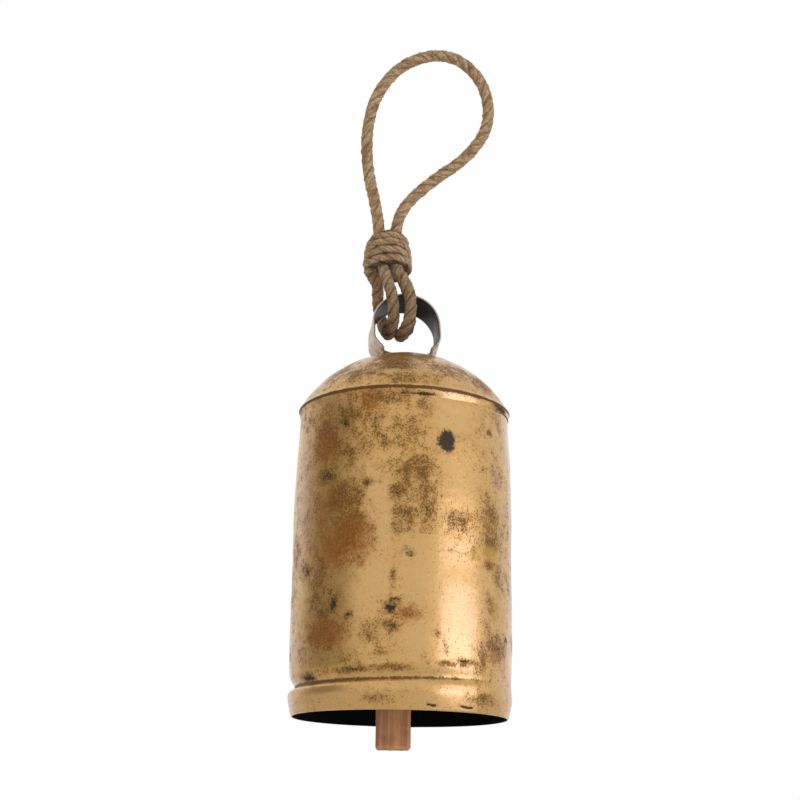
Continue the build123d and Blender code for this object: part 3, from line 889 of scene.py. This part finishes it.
def bent_line(corners, radii, step):
    """Points along straight runs joined by arcs: the heading holds along a run, turns evenly through an
    arc, and is added up step by step. Also each point's heading and its distance along the line."""
    corners = np.asarray(corners, float)
    runs = np.diff(corners, axis=0)
    headings = np.unwrap(np.arctan2(runs[:, 1], runs[:, 0]))
    turns = np.abs(np.diff(headings))
    setback = np.asarray(radii) * np.tan(turns / 2)
    straights = np.hypot(*runs.T) - np.r_[0, setback] - np.r_[setback, 0]
    lengths = np.zeros(2 * len(straights) - 1)
    lengths[0::2] = straights
    lengths[1::2] = np.asarray(radii) * turns
    stations = np.r_[0, np.cumsum(lengths)]
    distance = np.linspace(0, stations[-1], int(stations[-1] / step) + 1)
    heading = np.interp(distance, stations, np.repeat(headings, 2))
    middle = (heading[1:] + heading[:-1]) / 2
    gap = distance[1]
    along = np.stack([np.cos(middle), np.sin(middle)], axis=1) * gap
    points = np.r_[corners[:1], corners[0] + np.cumsum(along, axis=0)]
    return points, heading, distance


def rounded_slab(width, thickness, across_steps):
    """Closed outline of a flat strip with rounded edges, as places across and through the thickness."""
    half, edge = width / 2, thickness / 2
    flat = np.linspace(-1, 1, across_steps) * (half - 0.35 * edge)
    corner = np.array([(0.10, 0.86), (0.27, 0.45), (0.27, -0.45), (0.10, -0.86)])
    side = np.stack([half - 0.35 * edge + corner[:, 0] * edge, corner[:, 1] * edge], axis=1)
    face = np.stack([flat, np.full(across_steps, edge)], axis=1)
    return np.r_[face, side, face[::-1] * (1, -1), -side]


def bail_arch(sizes):
    """The strip: its outline across and through, carried along straight runs and arcs in the bail's own
    plane, with its width and thickness made uneven along the sheared edges."""
    r, span = sizes.radius, sizes.leg_span
    half_line = [(span + sizes.tab, -sizes.tab_drop - sizes.tab_slope), (span, -sizes.tab_drop),
                 (span, -sizes.slot_drop), (r, -sizes.shoulder_drop), (r, r)]
    corners = half_line + [(-u, w) for u, w in half_line[::-1]]
    half_bends = [*BAIL_BENDS, r / MM]
    radii = np.array(half_bends + half_bends[::-1]) * MM
    line, heading, distance = bent_line(corners, radii, BAIL_STEP)
    outline = rounded_slab(sizes.width, sizes.thickness, 24)

    centre, across, up, through = bail_frame()
    sideways = outline[None, :, 0]
    outward = outline[None, :, 1]
    edge = np.abs(sideways) / (sizes.width / 2)
    wander = 0.6 * np.sin(distance / (3.1 * MM)) + np.sin(distance / (7.3 * MM) + 1)
    sideways = sideways + np.sign(sideways) * edge**6 * (sizes.burr * wander[:, None] - sizes.burr)
    outward = outward * (1 + 0.12 * edge**8)
    normal = np.stack([np.sin(heading), -np.cos(heading)], axis=1)
    flat = line[:, None, :] + outward[..., None] * normal[:, None, :]
    points = centre + flat[..., :1] * across + flat[..., 1:] * up + sideways[..., None] * through
    bow = unevenness(points, 17 * MM, 21) * 0.12 * MM
    points = points + bow[..., None] * (normal[:, None, :1] * across + normal[:, None, 1:] * up)

    stations, loop = points.shape[:2]
    inside = np.broadcast_to(smooth(-outline[:, 1], -0.2 * MM, 0.4 * MM), (stations, loop))
    if normal[stations // 2, 1] < 0:
        inside = 1 - inside
    foot = smooth(-line[:, 1], 14 * MM, 19 * MM)[:, None] + np.zeros(loop)
    along = vectors(sideways, outward, distance[:, None])
    attributes = {
        "inside": with_ends(inside, (0, 0)),
        "foot": with_ends(foot, (1, 1)),
        "along": with_ends(along, np.zeros((2, 3))),
    }
    ends = points[[0, -1]].mean(axis=1)
    return make_mesh("bail", with_ends(points, ends), tube_faces(stations, loop), attributes)


# =============================== the clapper ===============================

def square_outline(half, edge, steps):
    """Closed outline of a square with flattened corners: the polygon through its eight corners."""
    inner = half - edge
    corners = [(half, -inner), (half, inner), (inner, half), (-inner, half),
               (-half, inner), (-half, -inner), (-inner, -half), (inner, -half), (half, -inner)]
    corners = np.array(corners)
    lengths = np.r_[0, np.cumsum(np.hypot(*np.diff(corners, axis=0).T))]
    at = np.linspace(0, lengths[-1], steps, endpoint=False)
    return np.stack([np.interp(at, lengths, places) for places in corners.T], axis=1)


def clapper_bar(sizes):
    """The sawn bar: a square outline with broken edges carried down its length and drawn in to a point at
    the middle of each end, with uneven sides and rough ends; the hole is cut across it."""
    low, high = np.array(bar_low), np.array(bar_high)
    middle = (low + high) / 2
    half = (high[0] - low[0]) / 2
    outline = square_outline(half, sizes.edge, 96)
    inward = np.array([0.0, 0.03, 0.09, 0.14, 0.4, 0.7])
    depth = np.array([1.5, 0.9, 0.25, 0.0, 0.0, 0.0]) * MM
    levels = np.linspace(low[2] + 2.2 * MM, high[2] - 2.2 * MM, 66)
    heights = np.r_[(low[2] + depth)[::-1], levels, high[2] - depth]
    scale = 1 - np.r_[inward[::-1], 0 * levels, inward]
    points = np.zeros((len(heights), len(outline), 3))
    points[..., :2] = middle[:2] + outline[None] * scale[:, None, None]
    points[..., 2] = heights[:, None]
    sides = smooth(scale, 0.8, 0.97)[:, None]
    out = unit(outline)
    rough = unevenness(points * (1, 1, 0.25), 6 * MM, 31) + 0.6 * unevenness(points, 2.2 * MM, 32)
    points[..., :2] += (sides * sizes.rough * (0.4 * rough - 0.75))[..., None] * out
    end_rough = unevenness(points, 2.4 * MM, 33) + unevenness(points, 6 * MM, 34)
    inwards = np.sign(middle[2] - heights)[:, None] * (1 - sides)
    points[..., 2] += inwards * sizes.rough * (1.6 + end_rough)

    rows, loop = points.shape[:2]
    poles = points[[0, -1]].mean(axis=1)
    end = with_ends((1 - sides) + np.zeros((rows, loop)), (1, 1))
    mesh = make_mesh("clapper_bar", with_ends(points, poles), tube_faces(rows, loop), {"end": end})
    return drilled(mesh, joint_places["clapper_swing"], sizes.hole, half)


def drilled(mesh, place, radius, half):
    """The mesh with a round hole cut through it along Y: a closed tube is taken away from it."""
    turn = np.linspace(0, 2 * pi, 32, endpoint=False)
    reach = np.array([-1.4, 1.4])[:, None] * half
    rings = vectors(place.x + radius * np.cos(turn), place.y + reach, place.z + radius * np.sin(turn))
    drill_mesh = make_mesh("drill", with_ends(rings, rings.mean(axis=1)), tube_faces(*rings.shape[:2]))
    bar = bpy.data.objects.new("bar", mesh)
    drill = bpy.data.objects.new("drill", drill_mesh)
    for item in (bar, drill):
        bpy.context.scene.collection.objects.link(item)
    cut = bar.modifiers.new("hole", "BOOLEAN")
    cut.operation = "DIFFERENCE"
    cut.solver = "EXACT"
    cut.object = drill
    evaluated = bar.evaluated_get(bpy.context.evaluated_depsgraph_get())
    result = bpy.data.meshes.new_from_object(evaluated)
    bpy.data.objects.remove(bar)
    bpy.data.objects.remove(drill)
    result.set_sharp_from_angle(angle=radians(40))
    return result


# =============================== the rope ===============================

# The wraps by turn in degrees, from the left: z of the rope's middle in millimetres, before the tilt, and
# the share of the full wrap radius.
WRAP_HEIGHTS = [(-30, -128.6), (0, -129.2), (90, -129.4), (180, -126.8), (450, -124.2), (810, -119.2),
                (1170, -115.0), (1260, -114.2)]
WRAP_WIDTHS = [(-30, 0.96), (90, 1.0), (270, 1.03), (450, 1.0), (810, 0.96), (1170, 0.86), (1260, 0.84)]
ROPE_STEP = 0.5 * MM
HAIR_RADIUS = 0.045 * MM
HAIR_TAPER = [1, 0.9, 0.65, 0.15]


def knot_wraps(sizes):
    """Control points of the wraps: a rising oval helix round the knot, tilted up to the front, that is
    widest low down and drawn in at the top."""
    middle_x = (knot_low.x + knot_high.x) / 2
    middle_y = (knot_low.y + knot_high.y) / 2
    points = []
    for turn in range(-30, 1261, 30):
        a = radians(turn)
        height, width = (np.interp(turn, *np.transpose(steps)) for steps in (WRAP_HEIGHTS, WRAP_WIDTHS))
        points.append((middle_x - width * sizes.wrap_x * cos(a), middle_y - width * sizes.wrap_y * sin(a),
                       height * MM + sizes.wrap_tilt * sin(a)))
    return points


def rope_route(sizes):
    """One spline through the right turn, the hanging loop, the left turn and the wraps that bind them."""
    points = [ROPE_START, *RIGHT_TURN, RIGHT_CORE, *HANG_LOOP, LEFT_CORE, *LEFT_TURN,
              *knot_wraps(sizes), *TAIL]
    curve = bpy.data.curves.new("rope_route", "CURVE")
    curve.dimensions = "3D"
    curve.resolution_u = 16
    spline = curve.splines.new("NURBS")
    spline.points.add(len(points) - 1)
    spline.points.foreach_set("co", np.c_[np.array(points), np.ones(len(points))].ravel())
    spline.order_u = 3
    spline.use_endpoint_u = True
    holder = bpy.data.objects.new("rope_route", curve)
    bpy.context.scene.collection.objects.link(holder)
    line = bpy.data.meshes.new_from_object(holder.evaluated_get(bpy.context.evaluated_depsgraph_get()))
    read = np.zeros(len(line.vertices) * 3)
    line.vertices.foreach_get("co", read)
    bpy.data.objects.remove(holder)
    return read.reshape(-1, 3)


def evenly(path, step):
    """Points a step apart along a path, and their distances along it."""
    gaps = np.linalg.norm(np.diff(path, axis=0), axis=1)
    path = path[np.r_[True, gaps > 1e-7]]
    distance = np.r_[0, np.cumsum(gaps[gaps > 1e-7])]
    at = np.linspace(0, distance[-1], int(distance[-1] / step) + 1)
    return np.stack([np.interp(at, distance, path[:, k]) for k in range(3)], axis=1), at


def carried_frames(path):
    """A path's heading and two directions square to it that don't twist as they go: square to a fixed
    direction first, then turned back by the twist added up so far."""
    tangent = unit(np.gradient(path, axis=0))
    side = unit(np.cross(tangent, np.array([1.0, 0.9, 1.1])))
    across = np.cross(tangent, side)
    twisted = np.einsum("ij,ij->i", np.diff(side, axis=0), (across[1:] + across[:-1]) / 2)
    back = -np.r_[0, np.cumsum(twisted)][:, None]
    steady_side = np.cos(back) * side + np.sin(back) * across
    steady_across = np.cos(back) * across - np.sin(back) * side
    return tangent, steady_side, steady_across


def shade_between_wraps(sizes, path, distance, outward):
    """Painted shade: 1 in the gaps above and below a wrap, and 0 on the rest of the rope."""
    start = distance[path[:, 2] < knot_low.z].max() + sizes.diameter
    wrapped = smooth(distance, start, start + sizes.diameter)[:, None]
    return wrapped * smooth(np.abs(outward[..., 2]), 0.4, 0.74)


def rope_surface(sizes, path, distance):
    """The laid rope: round a path, the radius is that of three round strands set a little off the middle,
    turning with the lay, less the fine grooves between yarns; it closes to a point at each end."""
    _, side, across = carried_frames(path)
    turn = np.linspace(0, 2 * pi, 36, endpoint=False)[None, :]
    lay = turn - 2 * pi * distance[:, None] / sizes.pitch
    strand = (lay + pi / 3) % (2 * pi / 3) - pi / 3
    offset = sizes.strand_offset * sizes.diameter
    strand_radius = sizes.diameter / 2 + sizes.loft - offset
    radius = offset * np.cos(strand) + np.sqrt(strand_radius**2 - (offset * np.sin(strand)) ** 2)
    yarn_turn = 5.5 * strand + 2 * pi * distance[:, None] / (0.8 * sizes.pitch)
    radius = radius - sizes.yarn * (0.5 - 0.5 * np.cos(2 * yarn_turn)) ** 2

    outward = np.cos(turn)[..., None] * side[:, None] + np.sin(turn)[..., None] * across[:, None]
    rough = path[:, None] + radius[..., None] * outward
    radius = radius + 0.16 * MM * unevenness(rough, 3.4 * MM, 41)
    radius = radius + 0.12 * MM * unevenness(rough, 1.5 * MM, 42)
    closing = np.minimum(distance, distance[-1] - distance) / (0.9 * MM)
    radius = radius * np.sqrt(1 - (1 - np.clip(closing, 0.06, 1)) ** 2)[:, None]
    points = path[:, None] + radius[..., None] * outward

    fibre = vectors(radius * np.cos(lay), radius * np.sin(lay), distance[:, None])
    # The rope is made darker towards its lower end.
    low = 0.5 * smooth(-points[..., 2], 0.11, 0.16)
    tail = smooth(distance, distance[-1] - 2.5 * MM, distance[-1] - 0.5 * MM)[:, None]
    # The groove values paint shade between the strands; the darkening adds painted shade between the
    # wraps, the cut end and the rope's lower end.
    attributes = {
        "groove": with_ends(smooth(np.abs(strand), 0.6 * pi / 3, pi / 3), (1, 1)),
        "low_tail_and_wrap_shade": with_ends(most(low, tail, shade_between_wraps(sizes, path, distance, outward)), (1, 1)),
        "fibre": with_ends(fibre, np.zeros((2, 3))),
    }
    faces = tube_faces(*points.shape[:2])
    return make_mesh("hanging_rope", with_ends(points, path[[0, -1]]), faces, attributes)


def rope_hairs(sizes, path):
    """Loose fibres: each is a tapering three-sided sliver whose middle line starts on the rope and bends
    away from it, at a seeded place, lean and length."""
    random = np.random.default_rng(51)
    tangent, side, across = carried_frames(path)
    count = sizes.hairs
    station = random.integers(8, len(path) - 8, count)
    turn = random.uniform(0, 2 * pi, (count, 1))
    out = np.cos(turn) * side[station] + np.sin(turn) * across[station]
    round_rope = np.cross(tangent[station], out)
    lean = random.normal(0, 1, (count, 1))
    way = np.sign(random.uniform(-1, 1, (count, 1))) * random.uniform(0.5, 1.3, (count, 1))
    start = path[station] + out * sizes.diameter * random.uniform(0.42, 0.49, (count, 1))
    size = sizes.hair * random.gamma(3.0, 0.33, (count, 1))
    rising = out * random.uniform(0.12, 0.75, (count, 1))
    heading = unit(rising + tangent[station] * way + round_rope * lean * 0.5)
    curl = out * random.normal(-0.15, 0.35, (count, 1)) + round_rope * random.normal(0, 0.35, (count, 1))
    t = np.linspace(0, 1, len(HAIR_TAPER))[None, :, None]
    line = start[:, None] + size[:, None] * (t * heading[:, None] + t**2 * curl[:, None])

    wide = unit(np.cross(heading, out))
    deep = np.cross(heading, wide)
    taper = np.array(HAIR_TAPER)[None, :, None, None]
    thick = HAIR_RADIUS * random.uniform(0.7, 1.5, (count, 1, 1, 1)) * taper
    corner = np.array([0, 2 * pi / 3, 4 * pi / 3])[:, None]
    ring = np.cos(corner) * wide[:, None, None] + np.sin(corner) * deep[:, None, None]
    points = line[:, :, None] + thick * ring

    last = 3 * len(HAIR_TAPER) - 3
    ends = np.array([[0, 1, 2], [last, last + 1, last + 2]])
    first = (np.arange(count) * (last + 3))[:, None, None]
    faces = [(quads(len(HAIR_TAPER), 3, around_rows=True) + first).reshape(-1, 4),
             (ends + first).reshape(-1, 3)]
    return make_mesh("rope_hairs", points, faces)


# =============================== operators ===============================

class BELL_OT_stage(bpy.types.Operator):
    """Puts up the floor, the room's light, the soft box and the camera"""
    bl_idname = "bell.stage"
    bl_label = "Stage"

    def execute(self, context):
        scene, settings = context.scene, context.scene.bell_stage
        scene.view_settings.view_transform = "Standard"
        self.camera(scene, settings)
        self.floor(scene, settings)
        self.room(scene, settings)
        self.soft_box(scene, settings)
        return {"FINISHED"}

    def camera(self, scene, settings):
        camera = bpy.data.objects.new("camera", bpy.data.cameras.new("camera"))
        scene.collection.objects.link(camera)
        camera.data.lens = settings.lens
        camera.data.sensor_width = settings.sensor
        level = Matrix.Rotation(pi / 2 + settings.camera_pitch, 4, "X")
        rolled = level @ Matrix.Rotation(settings.camera_roll, 4, "Z")
        camera.matrix_world = Matrix.Translation(settings.camera_place) @ rolled
        scene.camera = camera

    def floor(self, scene, settings):
        height = bar_low.z - settings.floor_drop
        places = np.linspace(-settings.floor_reach, settings.floor_reach, 9)
        points = vectors(places[:, None], places, height)
        mesh = make_mesh("floor", points, [quads(len(places), len(places))])
        floor = bpy.data.objects.new("floor", mesh)
        scene.collection.objects.link(floor)
        mesh.materials.append(new_material(floor_paper, settings))

    def room(self, scene, settings):
        world = bpy.data.worlds.new("room")
        world.use_nodes = True
        world.node_tree.nodes.clear()
        scene.world = world
        shade = Shade(world.node_tree)
        way = shade.node("ShaderNodeTexCoord", None, None, "Generated")
        facing = {0: way, 1: settings.dark_side}
        lobe = shade.node("ShaderNodeVectorMath", {"operation": "DOT_PRODUCT"}, facing, 1)
        level = settings.room - lobe.rise(0.72, 0.98) * (settings.room - settings.shade)
        seen = shade.node("ShaderNodeLightPath", None, None, "Is Camera Ray")
        strength = level + seen * (1 - level)
        sky = shade.node("ShaderNodeBackground", None, {"Color": (1, 1, 1, 1), "Strength": strength})
        shade.node("ShaderNodeOutputWorld", None, {"Surface": sky})

    def soft_box(self, scene, settings):
        light = bpy.data.lights.new("soft_box", "AREA")
        light.shape = "RECTANGLE"
        light.size = settings.key_width
        light.size_y = settings.key_height
        light.color = settings.key_colour
        light.energy = settings.key * pi * light.size * light.size_y
        lamp = bpy.data.objects.new("soft_box", light)
        scene.collection.objects.link(lamp)
        middle = Vector((AXIS_X, 0, MOUTH_Z + settings.key_rise))
        bearing = settings.key_bearing
        lamp.location = middle + settings.key_distance * Vector((sin(bearing), -cos(bearing), 0))
        lamp.rotation_euler = (middle - lamp.location).to_track_quat("-Z", "Y").to_euler()


class BELL_OT_shell(bpy.types.Operator):
    """Makes the rolled shell, with its groove, dents, lapped seam and stains"""
    bl_idname = "bell.shell"
    bl_label = "Shell"

    def execute(self, context):
        material = new_material(aged_braze, context.scene.bell_finishes)
        mesh = shell_sheet(context.scene.bell_sizes)
        add_piece("bell_shell", mesh, material, "bell", ["body_shell"])
        return {"FINISHED"}


class BELL_OT_crown(bpy.types.Operator):
    """Makes the domed crown, with its flange and the braze round the bail's legs"""
    bl_idname = "bell.crown"
    bl_label = "Crown"

    def execute(self, context):
        material = new_material(aged_braze, context.scene.bell_finishes)
        mesh = crown_sheet(context.scene.bell_sizes, context.scene.bell_bail)
        add_piece("bell_crown", mesh, material, "bell", ["crown_dome"])
        return {"FINISHED"}


class BELL_OT_bail(bpy.types.Operator):
    """Makes the strip bail that the rope goes through"""
    bl_idname = "bell.bail"
    bl_label = "Bail"

    def execute(self, context):
        material = new_material(strip_steel, context.scene.bell_finishes)
        mesh = bail_arch(context.scene.bell_bail)
        add_piece("bail", mesh, material, "bell", ["bail_strip"])
        return {"FINISHED"}


class BELL_OT_clapper(bpy.types.Operator):
    """Makes the wooden clapper, and gives the staple and the stirrup their wire finish"""
    bl_idname = "bell.clapper"
    bl_label = "Clapper and wire"

    def execute(self, context):
        wood = new_material(sawn_wood, context.scene.bell_finishes)
        mesh = clapper_bar(context.scene.bell_clapper)
        add_piece("clapper_bar", mesh, wood, "clapper", ["clapper"])
        wire = new_material(drawn_wire, context.scene.bell_finishes)
        for name in ("clapper_staple", "clapper_stirrup"):
            node = frame["nodes"][name]
            for held in node.material_slots:
                held.material = wire
        return {"FINISHED"}


class BELL_OT_rope(bpy.types.Operator):
    """Lays the rope through the bail, up into its loop and round itself in the knot"""
    bl_idname = "bell.rope"
    bl_label = "Rope"

    def execute(self, context):
        finish, sizes = context.scene.bell_finishes, context.scene.bell_rope
        path, distance = evenly(rope_route(sizes), ROPE_STEP)
        laid = new_material(jute, finish)
        nodes = ["rope_hang_loop", "rope_turn_left", "rope_turn_right", "rope_knot"]
        surface = rope_surface(sizes, path, distance)
        rope = add_piece("hanging_rope", surface, laid, "rope", nodes)
        loose = new_material(loose_fibre, finish)
        hairs = add_piece("rope_hairs", rope_hairs(sizes, path), loose, "rope")
        return {"FINISHED"}


class BELL_PT_sidebar(bpy.types.Panel):
    """Lists the bell's pieces in the 3D view's sidebar"""
    bl_idname = "BELL_PT_sidebar"
    bl_label = "Yard dinner bell"
    bl_space_type = "VIEW_3D"
    bl_region_type = "UI"
    bl_category = "Dinner Bell"

    def draw(self, context):
        for step in STEPS:
            self.layout.operator(step.bl_idname)
        for name in SETTINGS:
            box = self.layout.box()
            group = getattr(context.scene, name)
            for key in group.__annotations__:
                box.prop(group, key)


STEPS = [BELL_OT_stage, BELL_OT_rope, BELL_OT_shell, BELL_OT_crown, BELL_OT_bail, BELL_OT_clapper]
SETTINGS = {
    "bell_sizes": BellSizes, "bell_bail": BailSizes, "bell_rope": RopeSizes,
    "bell_clapper": ClapperSizes, "bell_finishes": Finishes, "bell_stage": StageSettings,
}


def register():
    for item in [*SETTINGS.values(), *STEPS, BELL_PT_sidebar]:
        bpy.utils.register_class(item)
    for name, group in SETTINGS.items():
        setattr(bpy.types.Scene, name, PointerProperty(type=group))


def unregister():
    for name in SETTINGS:
        delattr(bpy.types.Scene, name)
    for item in reversed([*SETTINGS.values(), *STEPS, BELL_PT_sidebar]):
        bpy.utils.unregister_class(item)


def main():
    register()
    for step in STEPS:
        group, name = step.bl_idname.split(".")
        getattr(getattr(bpy.ops, group), name)()


if __name__ == "__main__":
    main()
